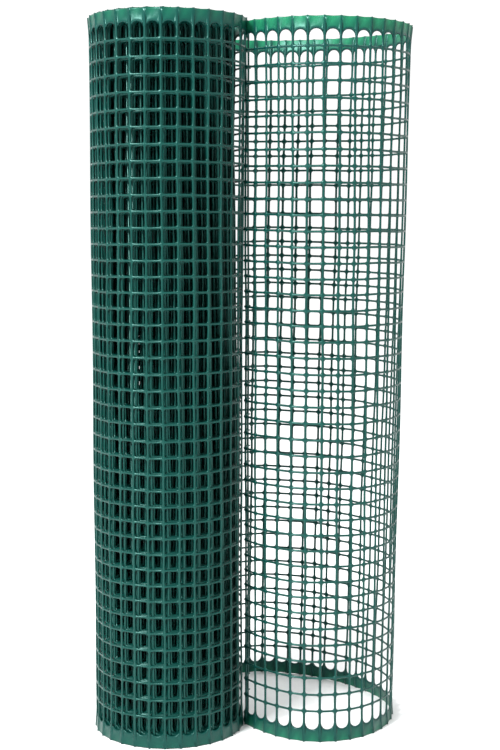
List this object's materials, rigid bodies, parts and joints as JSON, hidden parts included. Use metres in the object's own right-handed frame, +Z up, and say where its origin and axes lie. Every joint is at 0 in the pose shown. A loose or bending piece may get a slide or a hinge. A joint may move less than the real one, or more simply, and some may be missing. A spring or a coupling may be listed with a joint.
{
  "type": "plastic garden mesh roll",
  "caption": "Roll of green moulded plastic garden mesh standing on its end, partly unrolled into an open loop, with square cells and a plain edge band.",
  "frame": {"origin": "on the floor, under the middle of the box round the roll and its loop", "axes": "+X towards the open loop, +Y away from the viewer, +Z up along the roll"},
  "size_m": [0.4514, 0.3394, 1],
  "materials": {
    "green_polyethylene": "moulded dark green polyethylene with a soft satin sheen"
  },
  "bodies": {
    "root": {"mesh_roll": "green_polyethylene"}
  },
  "joints": []
}
